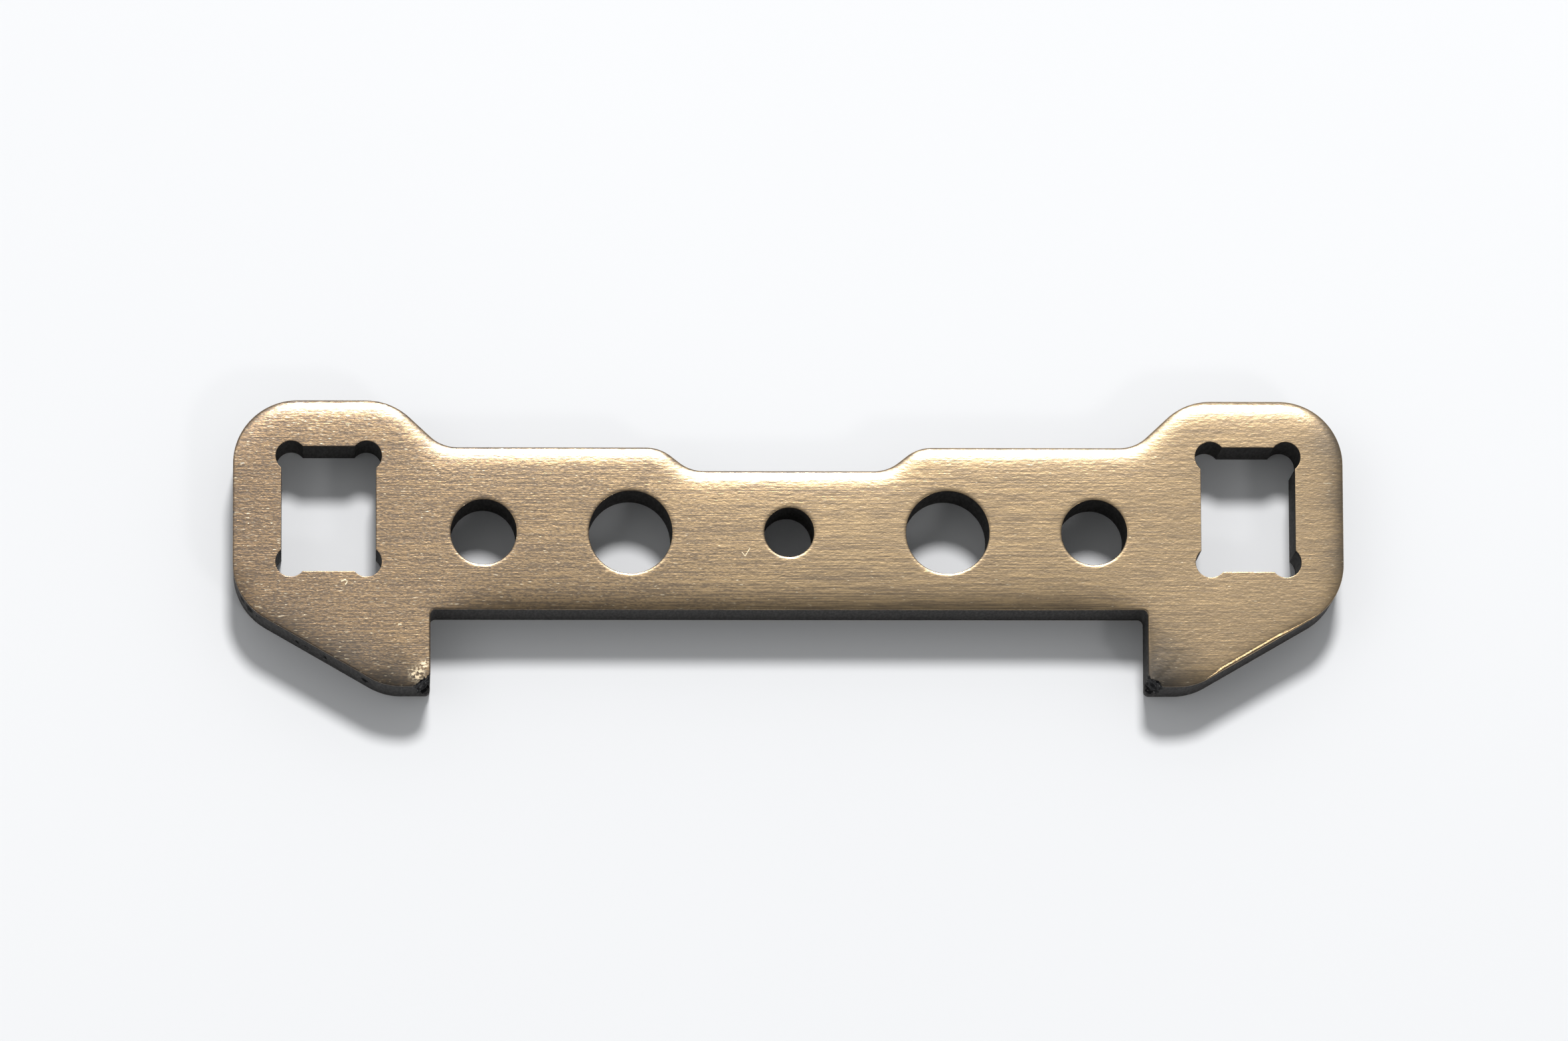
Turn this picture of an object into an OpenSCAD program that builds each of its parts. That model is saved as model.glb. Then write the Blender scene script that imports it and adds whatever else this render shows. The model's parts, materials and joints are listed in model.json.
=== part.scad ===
// Mounting plate that carries a pair of square hinge-pin bushes, milled from one piece of aluminium.
// It lies on its back: X runs along the plate, Y up its face and Z through its thickness.
// The origin is the axis of the middle screw hole, on the back face. Lengths are in millimetres.

/* [Plate] */
// Overall length
plate_length = 69.2; // [68:0.1:75]
// Thickness of the stock
plate_thickness = 5; // [3.5:0.1:8]
// Top of the ears, above the row of holes
ear_top = 8.3; // [7.8:0.05:9.5]
// Top of the shoulders, above the row of holes
shoulder_top = 5.35; // [5.1:0.05:5.8]
// Top of the saddle between the shoulders, above the row of holes
saddle_top = 3.87; // [3.4:0.01:4.1]
// Middle of the ramp from saddle to shoulder, from the centre
saddle_ramp_x = 7.1; // [6:0.05:12]
// Slope of the ramp from saddle to shoulder
saddle_ramp_angle = 38; // [32:1:45]
// Middle of the ramp from shoulder to ear, from the centre
ear_ramp_x = 23.2; // [21:0.05:23.6]
// Slope of the ramp from shoulder to ear
ear_ramp_angle = 43; // [38:1:50]

/* [Toes] */
// Clear width between the toes
recess_width = 44.66; // [40:0.01:45.5]
// Underside of the web, below the row of holes
web_depth = 4.85; // [4:0.05:6]
// Ends of the toes, below the row of holes
toe_depth = 9.68; // [9:0.01:10.5]
// Where the side and the sloping heel would meet, below the row of holes
heel_corner_depth = 4.26; // [3.8:0.01:5]
// Width of a toe's end, from its inner wall to where the heel would meet it
toe_width = 2.88; // [2.6:0.02:4]

/* [Corner radii] */
// Hollow at each end of the saddle
saddle_radius = 2.5; // [1:0.1:2.8]
// Shoulder beside the saddle
shoulder_radius = 2.5; // [1.5:0.1:2.8]
// Hollow between shoulder and ear
neck_radius = 2.5; // [1.5:0.1:4]
// Inner corner of the ear
ear_inner_radius = 4; // [2:0.1:4.5]
// Outer corner of the ear
ear_outer_radius = 4; // [2:0.1:4.5]
// Corner between side and heel
side_radius = 4; // [2:0.1:5]
// Corner between heel and toe
toe_radius = 4; // [2:0.1:5]
// Hollow corner of the recess
recess_radius = 0.35; // [0.3:0.05:0.8]
// Inner corner of each toe
tip_radius = 0.3; // [0.1:0.05:0.5]

/* [Screw holes] */
// Bore of the middle hole
middle_bore = 3.1; // [2.5:0.1:4]
// Bore of the inner pair
inner_bore = 5.2; // [4:0.1:5.6]
// Spacing of the inner pair
inner_pitch = 19.76; // [18:0.01:22]
// Bore of the outer pair
outer_bore = 4.1; // [3:0.1:5]
// Spacing of the outer pair
outer_pitch = 38.04; // [36:0.01:40]

/* [Bush windows] */
// Width of a window
window_width = 5.9; // [5:0.05:6.5]
// Height of a window
window_height = 7.85; // [6.5:0.05:8.4]
// Spacing of the two windows
window_pitch = 57.3; // [56:0.1:58]
// Centre of the windows, above the row of holes
window_rise = 1.45; // [0.8:0.05:1.8]
// Radius of the cutter that relieves a window's corners
relief_radius = 0.95; // [0.6:0.05:1.2]
// Distance of each relief's centre from the two walls that it clears
relief_inset = 0.6; // [0.4:0.05:0.8]

/* [Edges] */
// Width of the crown that tumbling left along the face's outer edge
crown_width = 1.2; // [0.6:0.05:1.3]
// Slope of the crown at its outer rim
crown_slope = 21; // [12:1:35]
// Edge break between the crown and the side, and along the back
edge_break = 0.12; // [0.06:0.01:0.2]

/* [Chipped toes] */
// Reach of the chip up the toe's inner wall
chip_up_wall = 0.9; // [0.4:0.05:1.5]
// Reach of the chip along the toe's end
chip_along_toe = 1; // [0.4:0.05:1.5]
// Reach of the chip down from the face
chip_depth = 2.8; // [1:0.1:3.2]

/* [Hidden] */

half_length = plate_length / 2;
half_recess = recess_width / 2;
saddle_ramp_run = (shoulder_top - saddle_top) / tan(saddle_ramp_angle);
ear_ramp_run = (ear_top - shoulder_top) / tan(ear_ramp_angle);

// Crown section: an arc from the face down to the edge break, as distance in from the edge and height.
// Its first flat runs on a little above the face, so that it cuts the face cleanly
crown_radius = (crown_width - edge_break) / sin(crown_slope);
crown_steps = 4;
lead_share = 0.25;
function crown_point(k) = let (slope = crown_slope * k / crown_steps)
    [crown_width - crown_radius * sin(slope), plate_thickness - crown_radius * (1 - cos(slope))];
crown_rim = crown_point(crown_steps);
crown_lead = crown_point(0) + lead_share * (crown_point(0) - crown_point(1));

// How far a cutting shape runs past the surface that it cuts
overcut = 0.2;
// How far each rounding circle is pushed past its tangents, so that it cuts both edges cleanly
seam = 0.002;
round_fn = 96;

// Corners of the right half, counter-clockwise from the recess: x, y, radius
right_corners = [
    [half_recess, -web_depth, recess_radius],
    [half_recess, -toe_depth, tip_radius],
    [half_recess + toe_width, -toe_depth, toe_radius],
    [half_length, -heel_corner_depth, side_radius],
    [half_length, ear_top, ear_outer_radius],
    [ear_ramp_x + ear_ramp_run / 2, ear_top, ear_inner_radius],
    [ear_ramp_x - ear_ramp_run / 2, shoulder_top, neck_radius],
    [saddle_ramp_x + saddle_ramp_run / 2, shoulder_top, shoulder_radius],
    [saddle_ramp_x - saddle_ramp_run / 2, saddle_top, saddle_radius]
];
half_count = len(right_corners);
left_corners = [for (i = [half_count - 1 : -1 : 0]) let (c = right_corners[i]) [-c.x, c.y, c.z]];
corners = concat(right_corners, left_corners);
count = len(corners);

// Corner i, its radius, and the heading of the edge that leaves it
function wrap(i) = (i + count) % count;
function corner(i) = let (c = corners[wrap(i)]) [c.x, c.y];
function radius(i) = corners[wrap(i)].z;
function heading(i) = let (way = corner(i + 1) - corner(i)) way / norm(way);
function inward(way) = [-way.y, way.x];

// Turn at corner i, positive where the corner stands out of the plate, and its rounding arc
function turn(i) = atan2(cross(heading(i - 1), heading(i)), heading(i - 1) * heading(i));
function stands_out(i) = turn(i) > 0;
function setback(i) = radius(i) * tan(abs(turn(i)) / 2);
function arc_start(i) = corner(i) - setback(i) * heading(i - 1);
function arc_end(i) = corner(i) + setback(i) * heading(i);
function arc_centre(i) = arc_start(i) + sign(turn(i)) * radius(i) * inward(heading(i - 1));

// Stations round the outline for a swept cut: a point on the edge and the way in from it.
// A standing corner tighter than the cut is one station, where the cut's two runs are mitred.
arc_step = 10;
function turned(way, angle) =
    [way.x * cos(angle) - way.y * sin(angle), way.x * sin(angle) + way.y * cos(angle)];
function arc_station(i, angle) = let (in = inward(turned(heading(i - 1), angle)))
    [arc_centre(i) - sign(turn(i)) * radius(i) * in, in];
function arc_stations(i) = let (steps = ceil(abs(turn(i)) / arc_step))
    [for (k = [0 : steps]) arc_station(i, turn(i) * k / steps)];
function mitre_station(i) =
    [corner(i), inward(turned(heading(i - 1), turn(i) / 2)) / cos(turn(i) / 2)];
function stations(width) = [
    for (i = [0 : count - 1])
        each stands_out(i) && radius(i) < width ? [mitre_station(i)] : arc_stations(i)
];

// Sweeps a section round the outline. Its points are distance in from the edge and height
module edge_sweep(section) {
    ring = stations(max([for (q = section) q.x]));
    rings = len(ring);
    sides = len(section);
    polyhedron(
        points = [for (s = ring, q = section) let (p = s[0] + q.x * s[1]) [p.x, p.y, q.y]],
        faces = [
            for (j = [0 : rings - 1], k = [0 : sides - 1])
                let (this = j * sides, next = (j + 1) % rings * sides, up = (k + 1) % sides)
                    [this + k, next + k, next + up, this + up]
        ]
    );
}

// What tumbling took off the face's outer edge
module crown_cut() {
    edge_sweep([
        [-overcut, plate_thickness + overcut],
        [-overcut, crown_rim.y - edge_break - overcut],
        each [for (k = [crown_steps : -1 : 1]) crown_point(k)],
        crown_lead,
        [crown_lead.x, plate_thickness + overcut]
    ]);
}

// The edge break along the back
module back_cut() {
    edge_sweep([
        [-overcut, -overcut],
        [edge_break + overcut, -overcut],
        [-overcut, edge_break + overcut]
    ]);
}

// The circle that rounds a corner
function way_out(i) = let (way = corner(i) - arc_centre(i)) way / norm(way);
module rounding_circle(i) {
    translate(arc_centre(i) + seam * way_out(i)) circle(r = radius(i), $fn = round_fn);
}

// What rounding takes off a standing corner: the patch from its arc out past its point
module corner_patch(i) {
    margin = overcut / cos(turn(i) / 2);
    difference() {
        polygon([
            arc_start(i),
            arc_start(i) - overcut * inward(heading(i - 1)),
            corner(i) + margin * way_out(i),
            arc_end(i) - overcut * inward(heading(i)),
            arc_end(i)
        ]);
        rounding_circle(i);
    }
}

// Outline of the plate: hollow corners start as chords, and their circle is cut out of the chord
module outline() {
    difference() {
        polygon([
            for (i = [0 : count - 1])
                each stands_out(i) ? [corner(i)] : [arc_start(i), arc_end(i)]
        ]);
        for (i = [0 : count - 1])
            if (stands_out(i)) corner_patch(i);
            else rounding_circle(i);
    }
}

// A hole of the given bore right through the plate
module through_hole(bore) {
    translate([0, 0, -overcut]) cylinder(d = bore, h = plate_thickness + 2 * overcut, $fn = round_fn);
}

// The row of screw holes along X
module screw_holes() {
    through_hole(middle_bore);
    for (side = [-1, 1]) {
        translate([side * inner_pitch / 2, 0, 0]) through_hole(inner_bore);
        translate([side * outer_pitch / 2, 0, 0]) through_hole(outer_bore);
    }
}

// Window for a square bush, with its corners relieved by the cutter
module bush_window() {
    translate([-window_width / 2, -window_height / 2, -overcut])
        cube([window_width, window_height, plate_thickness + 2 * overcut]);
    for (x = [-1, 1], y = [-1, 1])
        translate([x * (window_width / 2 - relief_inset), y * (window_height / 2 - relief_inset), 0])
            through_hole(2 * relief_radius);
}

// What was knocked off the right toe: a tetrahedron over the top of its inner corner
module toe_chip() {
    grown = 1 + overcut * (1 / chip_up_wall + 1 / chip_along_toe + 1 / chip_depth);
    translate([half_recess - overcut, -toe_depth - overcut, plate_thickness + overcut])
        polyhedron(
            points = grown * [[0, 0, 0], [0, chip_up_wall, 0], [chip_along_toe, 0, 0], [0, 0, -chip_depth]],
            faces = [[0, 2, 1], [0, 1, 3], [0, 3, 2], [1, 2, 3]]
        );
}

module mounting_plate() {
    color("#a88f6c") difference() {
        linear_extrude(plate_thickness) outline();
        crown_cut();
        back_cut();
        screw_holes();
        for (side = [-1, 1]) translate([side * window_pitch / 2, window_rise, 0]) bush_window();
        toe_chip();
        mirror([1, 0, 0]) toe_chip();
    }
}

mounting_plate();
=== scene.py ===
"""Dresses the milled mounting plate: its worn edges, brushed and anodised finish, studio and camera.

Sizes in the classes are in millimetres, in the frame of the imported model. They become metres where a
mesh, a lamp or the camera is made.
"""

import json
import logging
import math
from dataclasses import dataclass, field
from enum import Enum
from typing import Any, Iterable, Sequence

import bmesh
import bpy
import numpy as np
from mathutils import Matrix, Vector, noise
from mathutils.geometry import delaunay_2d_cdt


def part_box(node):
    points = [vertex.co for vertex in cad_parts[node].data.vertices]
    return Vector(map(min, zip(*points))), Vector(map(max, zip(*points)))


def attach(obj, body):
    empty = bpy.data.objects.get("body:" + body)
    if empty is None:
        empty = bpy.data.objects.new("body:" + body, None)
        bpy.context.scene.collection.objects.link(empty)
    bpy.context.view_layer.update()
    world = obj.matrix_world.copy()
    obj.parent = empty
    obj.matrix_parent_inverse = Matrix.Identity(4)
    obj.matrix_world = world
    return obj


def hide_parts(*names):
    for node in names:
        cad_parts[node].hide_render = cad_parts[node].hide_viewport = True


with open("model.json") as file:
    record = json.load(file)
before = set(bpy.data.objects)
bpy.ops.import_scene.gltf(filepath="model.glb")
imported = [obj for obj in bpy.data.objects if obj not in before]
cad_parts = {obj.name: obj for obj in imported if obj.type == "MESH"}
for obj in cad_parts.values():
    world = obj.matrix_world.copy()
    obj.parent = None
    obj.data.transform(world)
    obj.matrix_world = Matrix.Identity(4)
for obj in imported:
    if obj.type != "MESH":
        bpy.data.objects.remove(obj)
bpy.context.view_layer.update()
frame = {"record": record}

LOG = logging.getLogger("mounting_plate")
MM = 0.001
PER_MM = 1.0 / MM
NODE = "mounting_plate"
BODY = "root"
IMAGE_WIDTH = 2361
SENSOR_WIDTH = 36.0

Colour = tuple[float, float, float]
Span = tuple[float, float]
Feed = Any
UNIT: Span = (0.0, 1.0)
NOISE_MEAN = 0.5


class Side(Enum):
    """The two ends of the plate, as the sign of X."""

    LEFT = -1
    RIGHT = 1


class LampRole(Enum):
    """The lamps of the studio."""

    KEY = "key_lamp"
    FRONT = "front_lamp"
    LEFT = "left_lamp"


class NodeSheet:
    """Adds and links the nodes of one node tree."""

    NOISE_ROUGHNESS = 0.55

    def __init__(self, tree: bpy.types.NodeTree) -> None:
        """Keeps the tree that nodes are added to."""
        self.tree = tree

    def add(self, kind: str, feeds: dict[Any, Feed] | None = None, **settings: Any) -> bpy.types.Node:
        """Adds a node.

        Args:
            kind: Blender's name of the node type.
            feeds: What goes into each input: a socket to link, or a value to set.
            settings: The node's own properties.

        Returns:
            The new node.
        """
        node = self.tree.nodes.new(kind)
        for name, value in settings.items():
            setattr(node, name, value)
        for name, feed in (feeds or {}).items():
            if isinstance(feed, bpy.types.NodeSocket):
                self.tree.links.new(feed, node.inputs[name])
            else:
                node.inputs[name].default_value = feed
        return node

    def math(self, operation: str, first: Feed, second: Feed = 0.0,
             clamp: bool = False) -> bpy.types.NodeSocket:
        """Adds a Math node.

        Args:
            operation: Blender's name of the operation.
            first: First operand, a socket or a number.
            second: Second operand, a socket or a number.
            clamp: Whether the result is kept between 0 and 1.

        Returns:
            The node's result.
        """
        node = self.add("ShaderNodeMath", {0: first, 1: second}, operation=operation, use_clamp=clamp)
        return node.outputs[0]

    def plus(self, first: Feed, second: Feed) -> bpy.types.NodeSocket:
        """Adds two numbers or sockets."""
        return self.math("ADD", first, second)

    def minus(self, first: Feed, second: Feed) -> bpy.types.NodeSocket:
        """Takes the second number or socket from the first."""
        return self.math("SUBTRACT", first, second)

    def times(self, first: Feed, second: Feed) -> bpy.types.NodeSocket:
        """Multiplies two numbers or sockets."""
        return self.math("MULTIPLY", first, second)

    def vector(self, operation: str, first: Feed, second: Feed = (0.0, 0.0, 0.0)) -> bpy.types.Node:
        """Adds a Vector Math node on two vectors and returns it."""
        return self.add("ShaderNodeVectorMath", {0: first, 1: second}, operation=operation)

    def scaled(self, vector: Feed, scale: Feed) -> bpy.types.NodeSocket:
        """Multiplies a vector by a number or a socket."""
        node = self.add("ShaderNodeVectorMath", {0: vector, "Scale": scale}, operation="SCALE")
        return node.outputs[0]

    def noise(self, place: Feed, grain: Colour, detail: float) -> bpy.types.NodeSocket:
        """Adds noise stretched to a grain.

        Args:
            place: Coordinates in millimetres.
            grain: Cells to a millimetre along X, Y and Z.
            detail: Octaves of finer noise.

        Returns:
            The noise, about 0.5.
        """
        stretched = self.vector("MULTIPLY", place, grain).outputs[0]
        node = self.add("ShaderNodeTexNoise", {
            "Vector": stretched, "Scale": 1.0, "Detail": detail, "Roughness": self.NOISE_ROUGHNESS})
        return node.outputs[0]

    def ramp(self, value: Feed, low: float, high: float) -> bpy.types.NodeSocket:
        """Maps a value smoothly from 0 at the low end to 1 at the high end."""
        node = self.add("ShaderNodeMapRange", {"Value": value, "From Min": low, "From Max": high},
                        interpolation_type="SMOOTHSTEP")
        return node.outputs[0]

    def line(self, value: Feed, ends: Span, results: Span) -> bpy.types.NodeSocket:
        """Maps a value in a straight line from two ends to two results, and holds it past them."""
        node = self.add("ShaderNodeMapRange", {
            "Value": value, "From Min": ends[0], "From Max": ends[1],
            "To Min": results[0], "To Max": results[1]})
        return node.outputs[0]

    def mix(self, share: Feed, first: Feed, second: Feed) -> bpy.types.NodeSocket:
        """Mixes two colours.

        Args:
            share: Share of the second colour.
            first: A colour or a socket.
            second: A colour or a socket.

        Returns:
            The mixed colour.
        """
        node = self.add("ShaderNodeMix", {"Factor": share}, data_type="RGBA")
        ends = [socket for socket in node.inputs if socket.type == "RGBA"]
        for socket, feed in zip(ends, (first, second)):
            if isinstance(feed, bpy.types.NodeSocket):
                self.tree.links.new(feed, socket)
            else:
                socket.default_value = (*feed, 1.0)
        return next(socket for socket in node.outputs if socket.type == "RGBA")

    def place(self) -> bpy.types.NodeSocket:
        """Gives the object's own coordinates in millimetres."""
        return self.scaled(self.add("ShaderNodeTexCoord").outputs["Object"], PER_MM)

    def surface(self, feeds: dict[str, Feed]) -> None:
        """Makes a Principled shader with these inputs the surface."""
        shader = self.add("ShaderNodeBsdfPrincipled", feeds)
        self.add("ShaderNodeOutputMaterial", {"Surface": shader.outputs[0]})


def blank_material(name: str) -> tuple[bpy.types.Material, NodeSheet]:
    """Makes a material that has no nodes yet, with a helper on its tree."""
    material = bpy.data.materials.new(name)
    material.use_nodes = True
    material.node_tree.nodes.clear()
    return material, NodeSheet(material.node_tree)


@dataclass(frozen=True)
class Corner:
    """A corner of the outline, which runs counter-clockwise.

    Attributes:
        x: Place of the sharp corner along the plate.
        y: Place of the sharp corner up the face.
        radius: Radius that rounds it.
    """

    x: float
    y: float
    radius: float


@dataclass
class EdgePath:
    """Stations along an edge that a section is swept along.

    Attributes:
        points: Place of each station, one row each.
        way_in: The way from each station into the metal.
        share: Strength of the crown at each station, or none where it is 1 throughout.
    """

    points: np.ndarray
    way_in: np.ndarray
    share: np.ndarray | None = None

    FAR = 100.0
    TINY = 1e-9

    def inset(self, distance: float) -> np.ndarray:
        """Gives the stations moved into the metal by a distance."""
        return self.points + distance * self.way_in

    def reach(self) -> np.ndarray:
        """Finds how far in a section may go before it meets the run on the corner's other side.

        Returns:
            For each station, the radius of the largest circle in the metal that touches the edge there.
        """
        gap = self.points[None, :, :] - self.points[:, None, :]
        facing = np.einsum("ijk,ik->ij", gap, self.way_in)
        square = np.einsum("ijk,ijk->ij", gap, gap)
        radius = np.where(facing > self.TINY, square / np.maximum(2.0 * facing, self.TINY), self.FAR)
        return np.minimum(radius.min(axis=1), self.FAR)


@dataclass
class OutlineSampler:
    """Turns rounded corners into stations along the plate's outer edge.

    Attributes:
        corners: The corners, counter-clockwise.
        arc_step: Turn between stations on a wide arc, in degrees.
        tight_arc_step: Turn between stations on a tight arc, in degrees.
        tight_radius: Arcs under this radius are tight.
        run_step: Spacing of stations along a straight run.
        fine_step: Spacing beside a tight standing corner.
        fine_run: Length of the finely spaced stretch.
    """

    corners: Sequence[Corner]
    arc_step: float = 3.0
    tight_arc_step: float = 11.25
    tight_radius: float = 1.0
    run_step: float = 0.25
    fine_step: float = 0.05
    fine_run: float = 2.0

    SLACK = 0.01

    def sample(self) -> EdgePath:
        """Walks round the outline.

        Returns:
            The stations of the whole outline.
        """
        count = len(self.corners)
        spots = np.array([(c.x, c.y) for c in self.corners])
        ways = np.roll(spots, -1, axis=0) - spots
        lengths = np.linalg.norm(ways, axis=1)
        ways = ways / lengths[:, None]
        turns = [self._turn(ways[i - 1], ways[i]) for i in range(count)]
        setbacks = [c.radius * math.tan(abs(t) / 2) for c, t in zip(self.corners, turns)]
        fine = [c.radius < self.tight_radius and t > 0 for c, t in zip(self.corners, turns)]
        points: list[np.ndarray] = []
        way_in: list[np.ndarray] = []
        for i, corner in enumerate(self.corners):
            for spot, inward in self._arc(spots[i], ways[i - 1], turns[i], setbacks[i], corner.radius):
                points.append(spot)
                way_in.append(inward)
            following = (i + 1) % count
            run = lengths[i] - setbacks[i] - setbacks[following]
            start = spots[i] + ways[i] * setbacks[i]
            for offset in self._offsets(run, fine[i], fine[following]):
                points.append(start + ways[i] * offset)
                way_in.append(self._left_of(ways[i]))
        return EdgePath(np.array(points), np.array(way_in))

    @staticmethod
    def _left_of(way: np.ndarray) -> np.ndarray:
        """Turns a heading a quarter to the left, which is into the metal."""
        return np.array((-way[1], way[0]))

    @staticmethod
    def _turn(before: np.ndarray, after: np.ndarray) -> float:
        """Gives the turn between two headings in radians, positive to the left."""
        return math.atan2(before[0] * after[1] - before[1] * after[0], float(before @ after))

    def _arc(self, spot: np.ndarray, before: np.ndarray, turn: float, setback: float,
             radius: float) -> Iterable[tuple[np.ndarray, np.ndarray]]:
        """Places stations along one corner's arc, both ends included.

        Args:
            spot: The sharp corner.
            before: Heading of the run that comes to it.
            turn: Turn at the corner, in radians.
            setback: Distance from the sharp corner to either end of the arc.
            radius: Radius of the arc.

        Returns:
            Place and way in of each station.
        """
        step = self.tight_arc_step if radius < self.tight_radius else self.arc_step
        steps = max(2, math.ceil(math.degrees(abs(turn)) / step))
        hand = math.copysign(1.0, turn)
        centre = spot - before * setback + hand * radius * self._left_of(before)
        for k in range(steps + 1):
            angle = turn * k / steps
            way = np.array((before[0] * math.cos(angle) - before[1] * math.sin(angle),
                            before[0] * math.sin(angle) + before[1] * math.cos(angle)))
            inward = self._left_of(way)
            yield centre - hand * radius * inward, inward

    def _offsets(self, run: float, fine_start: bool, fine_end: bool) -> list[float]:
        """Spaces the stations of one straight run, its two ends left out.

        Args:
            run: Length of the run.
            fine_start: Whether its start is finely spaced.
            fine_end: Whether its end is finely spaced.

        Returns:
            Distances from the start of the run.
        """
        fine_count = int(min(self.fine_run, run - self.fine_step / 2) / self.fine_step)
        fine = [k * self.fine_step for k in range(1, fine_count + 1)]
        first = fine if fine_start else []
        last = [run - offset for offset in reversed(fine)] if fine_end else []
        low = first[-1] if first else 0.0
        high = last[0] if last else run
        steps = max(1, math.ceil((high - low) / self.run_step - self.SLACK))
        middle = [low + (high - low) * k / steps for k in range(1, steps)]
        return first + middle + last


def bore_path(x: float, y: float, radius: float, stations: int = 96) -> EdgePath:
    """Samples the edge of a round hole.

    Args:
        x: Centre along the plate.
        y: Centre up the face.
        radius: Radius of the hole.
        stations: Number of stations round it.

    Returns:
        The stations, clockwise, so that the metal is on their left.
    """
    angles = -2.0 * math.pi * np.arange(stations) / stations
    outward = np.column_stack((np.cos(angles), np.sin(angles)))
    return EdgePath(np.array((x, y)) + radius * outward, outward)


def enclosed(loop: np.ndarray, spots: np.ndarray) -> np.ndarray:
    """Tells which spots lie inside a closed loop.

    Args:
        loop: Corners of the loop, one row each.
        spots: Places to test, one row each.

    Returns:
        True for each spot whose ray along X crosses the loop an odd number of times.
    """
    ends = np.roll(loop, -1, axis=0)
    x, y = spots[:, :1], spots[:, 1:]
    straddles = (loop[:, 1] > y) != (ends[:, 1] > y)
    rise = ends[:, 1] - loop[:, 1]
    slant = (ends[:, 0] - loop[:, 0]) / np.where(rise == 0.0, 1.0, rise)
    crossed = straddles & (x < loop[:, 0] + (y - loop[:, 1]) * slant)
    return crossed.sum(axis=1) % 2 == 1


@dataclass(frozen=True)
class Crown:
    """How tumbling rounds the face down towards an edge.

    Attributes:
        width: Distance from the edge to where the face is flat.
        slope: Slope at the outer rim, in degrees.
        fading: Distance over which that slope falls to about a third.
        lip: Width of the small break that ends the crown at the wall.
        tail_slope: Slope of the crown's shallow tail at the outer rim, in degrees.
        tail_fading: Distance over which the tail's slope falls to about a third.
    """

    width: float
    slope: float
    fading: float
    lip: float
    tail_slope: float = 0.0
    tail_fading: float = 1.0

    def drop(self, distance: float) -> float:
        """Gives how far the face lies below its flat at a distance in from the edge."""
        total = 0.0
        for slope, fading in ((self.slope, self.fading), (self.tail_slope, self.tail_fading)):
            left = math.exp((self.lip - distance) / fading) - math.exp((self.lip - self.width) / fading)
            total += math.tan(math.radians(slope)) * fading * max(left, 0.0)
        return total


@dataclass(frozen=True)
class WornRun:
    """A run of edge that tumbling wore more or less than the rest.

    Attributes:
        start: One end of the run.
        end: Its other end.
        reach: Distance from the run to where the crown is as elsewhere.
        share: Strength of the crown on the run itself.
    """

    start: tuple[float, float]
    end: tuple[float, float]
    reach: float
    share: float

    def at(self, spots: np.ndarray) -> np.ndarray:
        """Finds the strength of the crown at places along the edge.

        Args:
            spots: Places, one row each.

        Returns:
            The strength at each place, 1 where the crown is as elsewhere.
        """
        start = np.array(self.start)
        way = np.array(self.end) - start
        along = np.clip((spots - start) @ way / float(way @ way), *UNIT)
        gaps = np.linalg.norm(spots - start - along[:, None] * way, axis=1)
        away = np.clip(gaps / self.reach, *UNIT)
        eased = away ** 2 * (3.0 - 2.0 * away)
        return self.share + (1.0 - self.share) * eased


@dataclass(frozen=True)
class BevelledRun:
    """A straight run of the outline that is rubbed to a narrow bevel.

    Attributes:
        start: One end of the run, counter-clockwise round the outline.
        end: Its other end.
        width: How far in the bevel reaches.
        slope: Slope of the bevel, in degrees.
        fade: Lengths over which it sets in at the start and at the end.
        ease: How softly the bevel meets the face.
    """

    start: tuple[float, float]
    end: tuple[float, float]
    width: float
    slope: float
    fade: Span = (1.0, 2.5)
    ease: float = 0.04

    def press(self, mesh: bmesh.types.BMesh, thickness: float) -> None:
        """Presses the face down along the run.

        Args:
            mesh: The plate, in millimetres.
            thickness: Thickness of the plate.
        """
        start = Vector(self.start)
        way = Vector(self.end) - start
        length = way.length
        way.normalize()
        steep = math.tan(math.radians(self.slope))
        for vert in mesh.verts:
            offset = vert.co.xy - start
            along = offset.dot(way)
            eased = min(max(min(along / self.fade[0], (length - along) / self.fade[1]), 0.0), 1.0)
            left = self.width - min(max(way.cross(offset), 0.0), self.width)
            vert.co.z *= 1.0 - eased * steep * left * left / (left + self.ease) / thickness


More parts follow.
